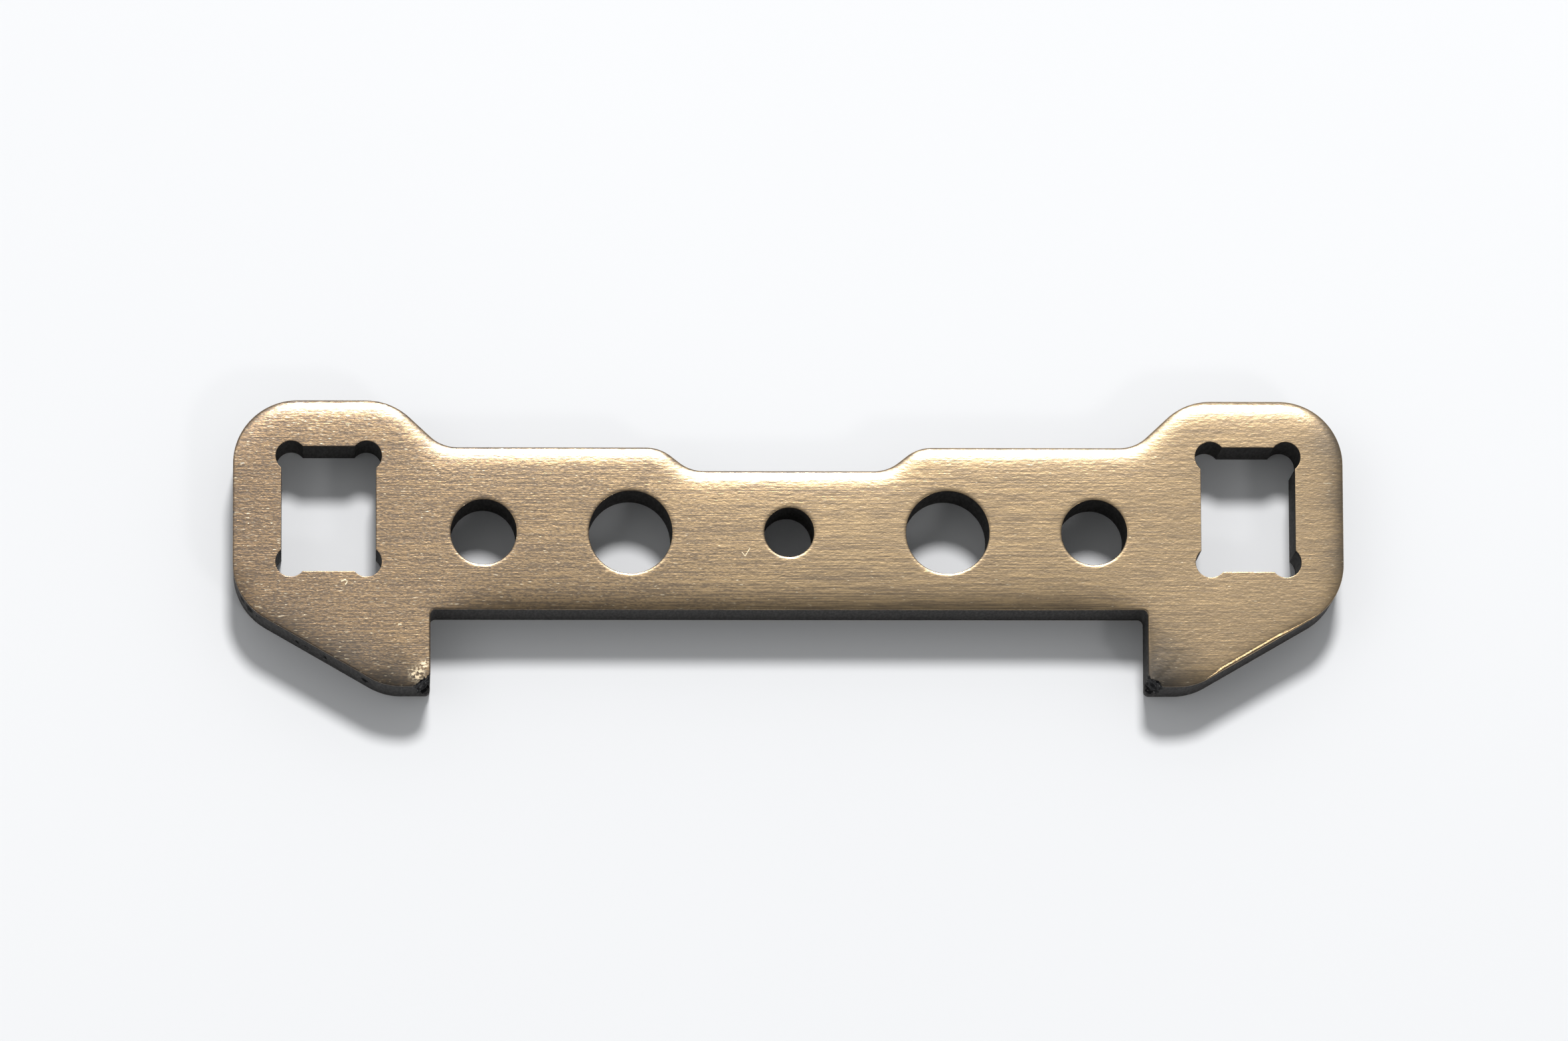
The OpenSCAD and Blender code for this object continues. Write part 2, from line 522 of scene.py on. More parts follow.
@dataclass(frozen=True)
class EdgeSection:
    """Section of an edge: the back's edge break, the wall, the lip and the start of the crown.

    Attributes:
        thickness: Thickness of the plate.
        crown: How the face is rounded.
        inner: Distance in from the edge at which the section ends.
        back_break: Radius of the break along the back.
        wall_step: Height of the wall's rows.
        crown_steps: Rows across the crown.
        break_steps: Rows across each break.
    """

    thickness: float
    crown: Crown
    inner: float
    back_break: float
    wall_step: float
    crown_steps: int
    break_steps: int

    def points(self) -> np.ndarray:
        """Draws the section from the back up the wall to its inner end.

        Returns:
            Distance in from the edge, drop owed to the crown and distance down from the face of each point.
        """
        lip = self.crown.lip
        rim = np.array((lip, self.crown.drop(lip)))
        bend = np.array((0.0, rim[1] + lip * math.tan(math.radians(self.crown.slope))))
        wall_top = np.array((0.0, rim[1] + lip))
        rows: list[Sequence[float]] = []
        for k in range(self.break_steps + 1):
            angle = math.pi * (1.5 - 0.5 * k / self.break_steps)
            rise = self.back_break * (1 + math.sin(angle))
            rows.append((self.back_break * (1 + math.cos(angle)), 0.0, self.thickness - rise))
        height = self.thickness - self.back_break - wall_top[1]
        steps = max(2, math.ceil(height / self.wall_step))
        for k in range(1, steps):
            rows.append((0.0, rim[1] * k / steps, wall_top[1] + height * (1 - k / steps)))
        for k in range(self.break_steps):
            t = k / self.break_steps
            depth, down = (1 - t) ** 2 * wall_top + 2 * t * (1 - t) * bend + t * t * rim
            rows.append((depth, rim[1], down))
        for k in range(self.crown_steps + 1):
            distance = lip + (self.inner - lip) * k / self.crown_steps
            rows.append((distance, self.crown.drop(distance), self.crown.drop(distance)))
        return np.array(rows)


class SweptEdge:
    """Geometry Nodes tree that lofts an edge section along an edge path.

    The guide mesh holds the stations first and the section's points after them. A grid with a column
    for each station and a row for each point of the section is laid over them.
    """

    WAY_IN = "way_in"
    REACH = "reach"
    SHARE = "crown_share"
    SIZES = (
        ("Stations", "NodeSocketInt"),
        ("Rows", "NodeSocketInt"),
        ("Face height", "NodeSocketFloat"),
        ("Weld distance", "NodeSocketFloat"),
        ("Face tilt", "NodeSocketFloat"),
        ("Wall finish", "NodeSocketMaterial"),
        ("Face finish", "NodeSocketMaterial"),
    )
    WELD = 2e-7
    FACE_TILT = 70.0

    def __init__(self) -> None:
        """Builds the tree once for every edge."""
        self.tree = bpy.data.node_groups.new("swept_edge", "GeometryNodeTree")
        face = self.tree.interface
        face.new_socket("Geometry", in_out="INPUT", socket_type="NodeSocketGeometry")
        self.sockets = {name: face.new_socket(name, in_out="INPUT", socket_type=kind).identifier
                        for name, kind in self.SIZES}
        face.new_socket("Geometry", in_out="OUTPUT", socket_type="NodeSocketGeometry")
        self._wire(NodeSheet(self.tree))

    def _wire(self, sheet: NodeSheet) -> None:
        """Adds and links the tree's nodes.

        Args:
            sheet: Helper on the tree.
        """
        given = sheet.add("NodeGroupInput").outputs
        columns = sheet.plus(given["Stations"], 1.0)
        grid = sheet.add("GeometryNodeMeshGrid", {
            "Size X": 1.0, "Size Y": 1.0, "Vertices X": columns, "Vertices Y": given["Rows"]})
        place = sheet.add("ShaderNodeSeparateXYZ", {0: sheet.add("GeometryNodeInputPosition").outputs[0]})
        across = sheet.times(sheet.plus(place.outputs["X"], 0.5), given["Stations"])
        station = sheet.math("MODULO", sheet.math("ROUND", across), given["Stations"])
        spare_row = sheet.minus(given["Rows"], 1.0)
        up = sheet.times(sheet.plus(place.outputs["Y"], 0.5), spare_row)
        row = sheet.plus(sheet.math("ROUND", up), given["Stations"])

        guide_place = sheet.add("GeometryNodeInputPosition").outputs[0]
        base = self._sample(sheet, given["Geometry"], guide_place, "FLOAT_VECTOR", station)
        section = self._sample(sheet, given["Geometry"], guide_place, "FLOAT_VECTOR", row)
        way_in = self._sample(sheet, given["Geometry"], self._stored(sheet, self.WAY_IN, "FLOAT_VECTOR"),
                              "FLOAT_VECTOR", station)
        reach = self._sample(sheet, given["Geometry"], self._stored(sheet, self.REACH, "FLOAT"),
                             "FLOAT", station)
        share = self._sample(sheet, given["Geometry"], self._stored(sheet, self.SHARE, "FLOAT"),
                             "FLOAT", station)

        drawn = sheet.add("ShaderNodeSeparateXYZ", {0: section})
        depth = sheet.math("MINIMUM", drawn.outputs["X"], reach)
        spared = sheet.times(drawn.outputs["Y"], sheet.minus(1.0, share))
        down = sheet.minus(drawn.outputs["Z"], spared)
        height = sheet.minus(given["Face height"], down)
        rise = sheet.add("ShaderNodeCombineXYZ", {"Z": height}).outputs[0]
        inset = sheet.vector("ADD", base, sheet.scaled(way_in, depth)).outputs[0]
        spot = sheet.vector("ADD", inset, rise).outputs[0]

        lofted = sheet.add("GeometryNodeSetPosition", {"Geometry": grid.outputs["Mesh"], "Position": spot})
        welded = sheet.add("GeometryNodeMergeByDistance", {
            "Geometry": lofted.outputs[0], "Distance": given["Weld distance"]})
        smooth = sheet.add("GeometryNodeSetShadeSmooth", {"Geometry": welded.outputs[0]})
        whole = sheet.add("GeometryNodeRealizeInstances", {"Geometry": smooth.outputs[0]})
        walled = sheet.add("GeometryNodeSetMaterial", {
            "Geometry": whole.outputs[0], "Material": given["Wall finish"]})
        facing = sheet.add("ShaderNodeSeparateXYZ", {0: sheet.add("GeometryNodeInputNormal").outputs[0]})
        level = sheet.math("ABSOLUTE", facing.outputs["Z"])
        on_face = sheet.math("GREATER_THAN", level, sheet.math("COSINE", given["Face tilt"]))
        faced = sheet.add("GeometryNodeSetMaterial", {
            "Geometry": walled.outputs[0], "Selection": on_face, "Material": given["Face finish"]})
        sheet.add("NodeGroupOutput", {0: faced.outputs[0]})

    @staticmethod
    def _stored(sheet: NodeSheet, name: str, kind: str) -> bpy.types.NodeSocket:
        """Reads a stored attribute of the guide by name."""
        return sheet.add("GeometryNodeInputNamedAttribute", {"Name": name}, data_type=kind).outputs[0]

    @staticmethod
    def _sample(sheet: NodeSheet, geometry: Feed, value: Feed, kind: str,
                index: Feed) -> bpy.types.NodeSocket:
        """Samples the guide at a station or a row.

        Args:
            sheet: Helper on the tree.
            geometry: The guide.
            value: What is read from it.
            kind: Data type of the value.
            index: Which of the guide's points.

        Returns:
            The sampled value.
        """
        node = sheet.add("GeometryNodeSampleIndex", data_type=kind, domain="POINT")
        sheet.tree.links.new(geometry, node.inputs["Geometry"])
        sheet.tree.links.new(value, node.inputs["Value"])
        sheet.tree.links.new(index, node.inputs["Index"])
        return node.outputs[0]

    def loft(self, name: str, path: EdgePath, section: EdgeSection, wall: bpy.types.Material,
             face: bpy.types.Material) -> bpy.types.Mesh:
        """Sweeps a section along a path.

        Args:
            name: Name of the edge.
            path: Stations along the edge.
            section: Section of the edge.
            wall: Material of the wall, the mesh's first.
            face: Material of the face and the back, the mesh's second.

        Returns:
            The lofted edge as a plain mesh, in metres.
        """
        profile = section.points()
        stations = len(path.points)
        spots = [(x * MM, y * MM, 0.0) for x, y in path.points]
        spots += [tuple(row) for row in profile * MM]
        guide = bpy.data.meshes.new(f"{name}_guide")
        guide.from_pydata(spots, [], [])
        ways = np.zeros((len(spots), 3))
        ways[:stations, :2] = path.way_in
        guide.attributes.new(self.WAY_IN, "FLOAT_VECTOR", "POINT").data.foreach_set("vector", ways.ravel())
        share = 1.0 if path.share is None else path.share
        for label, known in ((self.REACH, path.reach() * MM), (self.SHARE, share)):
            values = np.zeros(len(spots))
            values[:stations] = known
            guide.attributes.new(label, "FLOAT", "POINT").data.foreach_set("value", values)

        holder = bpy.data.objects.new(f"{name}_guide", guide)
        bpy.context.scene.collection.objects.link(holder)
        modifier = holder.modifiers.new("swept_edge", "NODES")
        modifier.node_group = self.tree
        values = {
            "Stations": stations,
            "Rows": len(profile),
            "Face height": section.thickness * MM,
            "Weld distance": self.WELD,
            "Face tilt": math.radians(self.FACE_TILT),
            "Wall finish": wall,
            "Face finish": face,
        }
        for label, value in values.items():
            modifier[self.sockets[label]] = value
        depsgraph = bpy.context.evaluated_depsgraph_get()
        mesh = bpy.data.meshes.new_from_object(holder.evaluated_get(depsgraph))
        finishes = [None, wall, face]
        used = np.zeros(len(mesh.polygons), dtype=np.int32)
        mesh.polygons.foreach_get("material_index", used)
        slots = np.array([max(0, finishes.index(slot) - 1) for slot in mesh.materials])
        mesh.polygons.foreach_set("material_index", slots[used].astype(np.int32))
        holder.modifiers.remove(modifier)
        bpy.data.objects.remove(holder)
        bpy.data.meshes.remove(guide)
        return mesh


@dataclass(frozen=True)
class Mark:
    """A dark nick or stain on the metal.

    Attributes:
        x: Place along the plate.
        y: Place up the face.
        z: Height above the back.
        radius: How far it spreads.
        depth: How deep it is dented.
    """

    x: float
    y: float
    z: float
    radius: float
    depth: float = 0.0

    SQUASH = Vector((1.0, 1.0, 0.4))

    @property
    def place(self) -> Vector:
        """Centre of the mark, where heights are squashed so that marks stand tall on the walls."""
        return Vector((self.x, self.y, self.z)) * self.SQUASH


@dataclass(frozen=True)
class Scratch:
    """A straight hairline scratch on the face.

    Attributes:
        start: Where it starts.
        end: Where it ends.
        width: Half of its width.
    """

    start: tuple[float, float]
    end: tuple[float, float]
    width: float = 0.03


@dataclass(frozen=True)
class GlintingRub:
    """A spot of the face worn to bare metal, with painted glitter that stands in for a lamp's sparkle.

    Attributes:
        x: Place along the plate.
        y: Place up the face.
        radius: How far it spreads.
    """

    x: float
    y: float
    radius: float


@dataclass(frozen=True)
class PaintedShade:
    """A soft patch of painted shade, which darkens the face's colour where the face rolls away from the
    light.

    Attributes:
        x: Place along the plate.
        y: Place up the face.
        radius: How far it spreads.
        depth: Share of the colour that it takes.
    """

    x: float
    y: float
    radius: float
    depth: float


@dataclass(frozen=True)
class TipChip:
    """What was knocked off the top of a toe's inner corner, down to a shelf.

    Attributes:
        side: Which toe.
        up_wall: Reach up the toe's inner wall.
        along_toe: Reach along the toe's end.
        shelf: Depth of the shelf below the face.
        shelf_rise: Height over which the shelf comes out to the corner.
        lean: Depth at which the leaning fracture would run out without the shelf.
        coarse: Height of the fracture's large lumps, as a share of the reach.
        fine: Height of the fracture's grain, as a share of the reach.
        shift: Moves the pattern of lumps, so that the two chips differ.
    """

    side: Side
    up_wall: float
    along_toe: float
    shelf: float
    shelf_rise: float = 0.5
    lean: float = 14.0
    coarse: float = 0.25
    fine: float = 0.12
    shift: float = 0.0

    COARSE_GRAIN = 2.1
    FINE_GRAIN = 6.5
    EDGE = 0.06
    FAR_OFF = 2.0

    def knock(self, mesh: bmesh.types.BMesh, half_recess: float, toe_depth: float,
              thickness: float) -> set[bmesh.types.BMVert]:
        """Pushes the corner's vertices back to the fracture.

        Args:
            mesh: The plate, in millimetres.
            half_recess: Half the clear width between the toes.
            toe_depth: Ends of the toes, below the row of holes.
            thickness: Thickness of the plate.

        Returns:
            The vertices moved.
        """
        hand = self.side.value
        slope = Vector((1.0 / self.along_toe, 1.0 / self.up_wall, 1.0 / self.lean))
        moved: set[bmesh.types.BMVert] = set()
        for vert in mesh.verts:
            local = Vector((vert.co.x * hand - half_recess, vert.co.y + toe_depth, thickness - vert.co.z))
            if min(local) < -self.EDGE or slope.dot(local) > self.FAR_OFF:
                continue
            lumps = self.coarse * noise.noise(local * self.COARSE_GRAIN + Vector((self.shift,) * 3))
            grain = self.fine * noise.noise(local * self.FINE_GRAIN + Vector((self.shift,) * 3))
            kept = min(max((local.z - self.shelf) / self.shelf_rise, 0.0), 1.0)
            short = (1.0 + lumps + grain) * (1.0 - kept) - slope.dot(local)
            if short <= 0.0:
                continue
            local += slope * (short / slope.length_squared)
            vert.co.x = (local.x + half_recess) * hand
            vert.co.y = local.y - toe_depth
            vert.co.z = thickness - local.z
            moved.add(vert)
        return moved


@dataclass(frozen=True)
class BlemishesAndPaintedLight:
    """Where the metal is stained, scratched or worn, and where shade and glitter are painted on it.

    Attributes:
        marks: Dark nicks and stains.
        scratches: Hairline scratches and bright dings on the face.
        glinting_rubs: Worn spots on the face, with painted glitter.
        painted_shades: Patches of painted shade on the face.
    """

    marks: Sequence[Mark]
    scratches: Sequence[Scratch]
    glinting_rubs: Sequence[GlintingRub]
    painted_shades: Sequence[PaintedShade]

    MOTTLE = 0.45
    MOTTLE_SPAN = (0.2, 0.8)
    RAGGED_GRAIN = (5.0, 5.0, 2.0)
    FRAYED_SPAN = (1.35, 1.1)
    GLITTER_GRAIN = (5.0, 6.0, 6.0)
    GLITTER_SPAN = (0.42, 0.56)
    GLINTING_RUB_CORE = 0.2
    SCRATCH_CORE = 0.3
    ON_FACE = (1.0, 1.0, 0.0)

    def dark(self, sheet: NodeSheet, place: Feed) -> bpy.types.NodeSocket:
        """Finds the marks.

        Args:
            sheet: Helper on the material.
            place: Coordinates in millimetres.

        Returns:
            1 where the metal is dark and 0 elsewhere.
        """
        ragged = sheet.noise(place, self.RAGGED_GRAIN, detail=3.0)
        squashed = sheet.vector("MULTIPLY", place, tuple(Mark.SQUASH)).outputs[0]
        found: Feed = 0.0
        for mark in self.marks:
            away = sheet.vector("DISTANCE", squashed, tuple(mark.place)).outputs["Value"]
            frayed = sheet.plus(sheet.math("DIVIDE", away, mark.radius), ragged)
            found = sheet.math("MAXIMUM", found, sheet.ramp(frayed, *self.FRAYED_SPAN))
        return found

    def dim(self, sheet: NodeSheet, place: Feed, grain: Feed) -> bpy.types.NodeSocket:
        """Finds the patches of painted shade.

        Args:
            sheet: Helper on the material.
            place: Coordinates in millimetres.
            grain: Noise that mottles them.

        Returns:
            Share of the colour that is left.
        """
        flat = sheet.vector("MULTIPLY", place, self.ON_FACE).outputs[0]
        left: Feed = 1.0
        for shade in self.painted_shades:
            away = sheet.vector("DISTANCE", flat, (shade.x, shade.y, 0.0)).outputs["Value"]
            mottled = sheet.plus(away, sheet.line(grain, self.MOTTLE_SPAN, (-self.MOTTLE, self.MOTTLE)))
            spread = sheet.add("ShaderNodeMapRange", {
                "Value": mottled, "From Min": shade.radius, "From Max": 0.0, "To Min": 1.0,
                "To Max": 1.0 - shade.depth}, interpolation_type="SMOOTHSTEP").outputs[0]
            left = sheet.times(left, spread)
        return left

    def bright(self, sheet: NodeSheet, place: Feed) -> bpy.types.NodeSocket:
        """Finds the scratches, and the worn spots with their painted glitter.

        Args:
            sheet: Helper on the material.
            place: Coordinates in millimetres.

        Returns:
            1 on bare metal and on painted glitter, and 0 elsewhere.
        """
        flat = sheet.vector("MULTIPLY", place, self.ON_FACE).outputs[0]
        glitter = sheet.ramp(sheet.noise(place, self.GLITTER_GRAIN, detail=2.0), *self.GLITTER_SPAN)
        found: Feed = 0.0
        for glinting_rub in self.glinting_rubs:
            away = sheet.vector("DISTANCE", flat, (glinting_rub.x, glinting_rub.y, 0.0)).outputs["Value"]
            core = self.GLINTING_RUB_CORE * glinting_rub.radius
            # Worn spot with painted glitter that stands in for a lamp's sparkle.
            worn = sheet.times(sheet.ramp(away, glinting_rub.radius, core), glitter)
            found = sheet.math("MAXIMUM", found, worn)
        for scratch in self.scratches:
            start = Vector((*scratch.start, 0.0))
            way = Vector((*scratch.end, 0.0)) - start
            offset = sheet.vector("SUBTRACT", flat, tuple(start)).outputs[0]
            along = sheet.vector("DOT_PRODUCT", offset, tuple(way / way.length_squared)).outputs["Value"]
            nearest = sheet.scaled(tuple(way), sheet.math("ADD", along, 0.0, clamp=True))
            away = sheet.vector("DISTANCE", offset, nearest).outputs["Value"]
            core = self.SCRATCH_CORE * scratch.width
            found = sheet.math("MAXIMUM", found, sheet.ramp(away, scratch.width, core))
        return found


@dataclass(frozen=True)
class AnodisedFinish:
    """Brushed aluminium, bronze under a clear anodised skin.

    Attributes:
        name: Name of the material.
        base: Colour of the metal.
        base_light: Colour of its paler streaks.
        dark: Colour of dark marks.
        glint: Colour of bare metal in scratches, specks and worn spots; in the worn spots it also paints
            glitter that stands in for a lamp's sparkle.
        fade_ends: Where along the plate the fade, which turns the colour darker and browner towards the left
            end, starts and ends.
        fade: Tint of the colour where the fade starts, at the left end.
        roughness: Mean roughness of the metal.
        roughness_spread: How far streaks vary it.
        rim_roughness: Roughness where tumbling polished the edges.
        rim_slopes: Slopes between which the polish sets in, in degrees.
        rim_brush: Share of the brushing that the polish leaves.
        skin_roughness: Roughness of the clear skin.
        bare_roughness: Roughness of bare metal.
        skin_ior: Refractive index of the clear skin.
        skin_brush: Strength of the brushing's relief in the skin where the fade starts and ends.
        brush_ends: Where along the plate the contrast of the brushing starts and ends falling.
        brush_contrast: That contrast at the two places.
        brush_height: Height of the brushing's relief, in metres.
        brush_strength: Strength of that relief where the fade starts and ends.
        peel_height: Height of the tumbled skin's relief, in metres.
        long_grain: Cells of the long streaks to a millimetre along X, Y and Z.
        short_grain: Cells of the short streaks.
        dash_grain: Cells of the dashes.
        peel_grain: Cells of the tumbled skin.
        speck_grain: Cells of the bright specks.
        dash_contrast: Contrast of the dashes where the fade ends and where it starts.
        dash_relief: Height of the dashes, as a share of the streaks' height.
        pale_span: Values of the brushing between which the metal turns pale.
        speck_span: Values of the noise between which a speck sets in.
        speck_lift: What is added to that noise where the fade starts.
        speck_share: How far a speck takes on the glint.
    """

    name: str = "brushed_anodised_aluminium"
    base: Colour = (0.225, 0.136, 0.050)
    base_light: Colour = (0.500, 0.325, 0.135)
    dark: Colour = (0.010, 0.009, 0.010)
    glint: Colour = (0.90, 0.74, 0.50)
    fade_ends: Span = (-34.0, 4.0)
    fade: Colour = (0.60, 0.52, 0.42)
    roughness: float = 0.26
    roughness_spread: float = 0.05
    rim_roughness: float = 0.20
    rim_slopes: Span = (6.0, 15.0)
    rim_brush: float = 0.25
    skin_roughness: float = 0.29
    bare_roughness: float = 0.55
    skin_ior: float = 1.92
    skin_brush: Span = (0.55, 0.1)
    brush_ends: Span = (-32.0, 30.0)
    brush_contrast: Span = (2.7, 0.4)
    brush_height: float = 6.5e-6
    brush_strength: Span = (1.0, 0.6)
    peel_height: float = 8.0e-6
    long_grain: Colour = (0.10, 12.0, 12.0)
    short_grain: Colour = (0.60, 16.0, 16.0)
    dash_grain: Colour = (4.2, 11.0, 11.0)
    peel_grain: Colour = (2.6, 5.5, 5.5)
    speck_grain: Colour = (2.6, 12.0, 12.0)
    dash_contrast: Span = (0.2, 2.6)
    dash_relief: float = 0.8
    pale_span: Span = (-0.12, 0.12)
    speck_span: Span = (0.69, 0.81)
    speck_lift: float = 0.06
    speck_share: float = 0.9

    def make(self, blemishes_and_painted_light: BlemishesAndPaintedLight) -> bpy.types.Material:
        """Builds the material.

        Args:
            blemishes_and_painted_light: Marks, scratches, worn spots with painted glitter and patches of
                painted shade in it.

        Returns:
            The material.
        """
        material, sheet = blank_material(self.name)
        place = sheet.place()
        along = sheet.add("ShaderNodeSeparateXYZ", {0: place}).outputs["X"]
        facing = sheet.add("ShaderNodeTexCoord").outputs["Normal"]
        level = sheet.math("ABSOLUTE", sheet.add("ShaderNodeSeparateXYZ", {0: facing}).outputs["Z"])
        rim = sheet.ramp(level, *(math.cos(math.radians(slope)) for slope in self.rim_slopes))
        faded = sheet.line(along, self.fade_ends, (1.0, 0.0))

        long_streak = sheet.noise(place, self.long_grain, detail=3.0)
        short_streak = sheet.noise(place, self.short_grain, detail=2.0)
        dash = sheet.noise(place, self.dash_grain, detail=2.0)
        peel = sheet.noise(place, self.peel_grain, detail=2.0)
        streaks = sheet.plus(sheet.times(long_streak, 0.5), sheet.times(short_streak, 0.5))
        swing = sheet.minus(streaks, NOISE_MEAN)
        drawn = sheet.times(swing, sheet.line(along, self.brush_ends, self.brush_contrast))
        dashed = sheet.times(sheet.minus(dash, NOISE_MEAN), sheet.line(faded, UNIT, self.dash_contrast))

        pale = sheet.ramp(sheet.plus(drawn, dashed), *self.pale_span)
        colour = sheet.mix(pale, self.base, self.base_light)
        tint = sheet.mix(faded, (1.0, 1.0, 1.0), self.fade)
        colour = sheet.vector("MULTIPLY", colour, tint).outputs[0]
        # Painted shade: soft dark patches darken the colour where the face rolls away from the light.
        colour = sheet.scaled(colour, blemishes_and_painted_light.dim(sheet, place, peel))
        speck = sheet.noise(place, self.speck_grain, detail=1.0)
        lifted = sheet.plus(speck, sheet.times(faded, self.speck_lift))
        # Bare metal of the scratches and worn spots; the worn spots also carry painted glitter that stands
        # in for a lamp's sparkle.
        bare = blemishes_and_painted_light.bright(sheet, place)
        specks = sheet.math("MAXIMUM", sheet.ramp(lifted, *self.speck_span), bare)
        colour = sheet.mix(sheet.times(specks, self.speck_share), colour, self.glint)
        colour = sheet.mix(blemishes_and_painted_light.dark(sheet, place), colour, self.dark)

        rough = sheet.times(swing, 2.0 * self.roughness_spread)
        rough = sheet.plus(rough, sheet.line(rim, UNIT, (self.roughness, self.rim_roughness)))
        rough = sheet.math("MAXIMUM", rough, sheet.times(bare, self.bare_roughness))
        relief = sheet.plus(streaks, sheet.times(dash, self.dash_relief))
        strength = sheet.times(sheet.line(along, self.fade_ends, self.brush_strength),
                               sheet.line(rim, UNIT, (1.0, self.rim_brush)))
        peeled = sheet.add("ShaderNodeBump", {"Height": peel, "Distance": self.peel_height, "Strength": 1.0})
        ground = {"Height": relief, "Distance": self.brush_height, "Normal": peeled.outputs[0]}
        brushed = sheet.add("ShaderNodeBump", {**ground, "Strength": strength})
        skin_strength = sheet.line(along, self.fade_ends, self.skin_brush)
        skin = sheet.add("ShaderNodeBump", {**ground, "Strength": skin_strength})
        sheet.surface({
            "Base Color": colour, "Metallic": 1.0, "Roughness": rough, "Normal": brushed.outputs[0],
            "Coat Weight": 1.0, "Coat Roughness": self.skin_roughness, "Coat IOR": self.skin_ior,
            "Coat Normal": skin.outputs[0]})
        return material


@dataclass(frozen=True)
class MilledFinish:
    """Dark, rough walls that a milling cutter left.

    Attributes:
        name: Name of the material.
        colour: Colour of the walls.
        light: Colour of their paler cutter lines.
        dark: Colour of dark marks.
        roughness: Roughness of the walls.
        gloss: Specular level of the walls.
        relief: Height of the cutter lines, in metres.
        line_grain: Cells of the cutter lines to a millimetre along X, Y and Z.
        line_span: Values of their noise between which they turn pale.
    """

    name: str = "milled_wall"
    colour: Colour = (0.045, 0.043, 0.042)
    light: Colour = (0.080, 0.077, 0.074)
    dark: Colour = (0.002, 0.002, 0.002)
    roughness: float = 0.80
    gloss: float = 0.1
    relief: float = 6.0e-6
    line_grain: Colour = (6.0, 6.0, 1.2)
    line_span: Span = (0.35, 0.7)

    def make(self, blemishes_and_painted_light: BlemishesAndPaintedLight) -> bpy.types.Material:
        """Builds the material with these marks in it."""
        material, sheet = blank_material(self.name)
        place = sheet.place()
        lines = sheet.noise(place, self.line_grain, detail=3.0)
        colour = sheet.mix(sheet.ramp(lines, *self.line_span), self.colour, self.light)
        dark = blemishes_and_painted_light.dark(sheet, place)
        cut = sheet.add("ShaderNodeBump", {"Height": lines, "Distance": self.relief, "Strength": 1.0})
        sheet.surface({
            "Base Color": sheet.mix(dark, colour, self.dark),
            "Roughness": sheet.line(dark, UNIT, (self.roughness, 1.0)),
            "Specular IOR Level": self.gloss, "Normal": cut.outputs[0]})
        return material


@dataclass(frozen=True)
class FractureFinish:
    """Black, dull metal where a corner broke off.

    Attributes:
        name: Name of the material.
        colour: Colour of the fracture.
        facet: Colour of its few bright facets.
        roughness: Roughness of the fracture.
        gloss: Specular level of the fracture.
        grain: Facets to a millimetre along X, Y and Z.
        facet_span: Values of their noise between which a facet is bright.
    """

    name: str = "broken_metal"
    colour: Colour = (0.003, 0.003, 0.004)
    facet: Colour = (0.16, 0.155, 0.15)
    roughness: float = 0.6
    gloss: float = 0.1
    grain: Colour = (3.5, 3.5, 3.5)
    facet_span: Span = (0.60, 0.70)

    def make(self) -> bpy.types.Material:
        """Builds the material."""
        material, sheet = blank_material(self.name)
        lumps = sheet.noise(sheet.place(), self.grain, detail=2.0)
        colour = sheet.mix(sheet.ramp(lumps, *self.facet_span), self.colour, self.facet)
        sheet.surface({"Base Color": colour, "Roughness": self.roughness, "Specular IOR Level": self.gloss})
        return material


@dataclass(frozen=True)
class PaperFinish:
    """Matt white paper that the plate lies on.

    Attributes:
        name: Name of the material.
        colour: Colour of the paper.
        shade: Colour of its faint cloudy patches.
        cloud: Patches to a metre.
        roughness: Roughness of the paper.
        gloss: Specular level of the paper.
    """

    name: str = "white_paper"
    colour: Colour = (0.94, 0.945, 0.955)
    shade: Colour = (0.90, 0.905, 0.92)
    cloud: float = 14.0
    roughness: float = 0.9
    gloss: float = 0.15

    def make(self) -> bpy.types.Material:
        """Builds the material."""
        material, sheet = blank_material(self.name)
        place = sheet.add("ShaderNodeTexCoord").outputs["Object"]
        cloud = sheet.add("ShaderNodeTexNoise", {"Vector": place, "Scale": self.cloud, "Detail": 3.0})
        colour = sheet.mix(cloud.outputs[0], self.colour, self.shade)
        sheet.surface({"Base Color": colour, "Roughness": self.roughness, "Specular IOR Level": self.gloss})
        return material


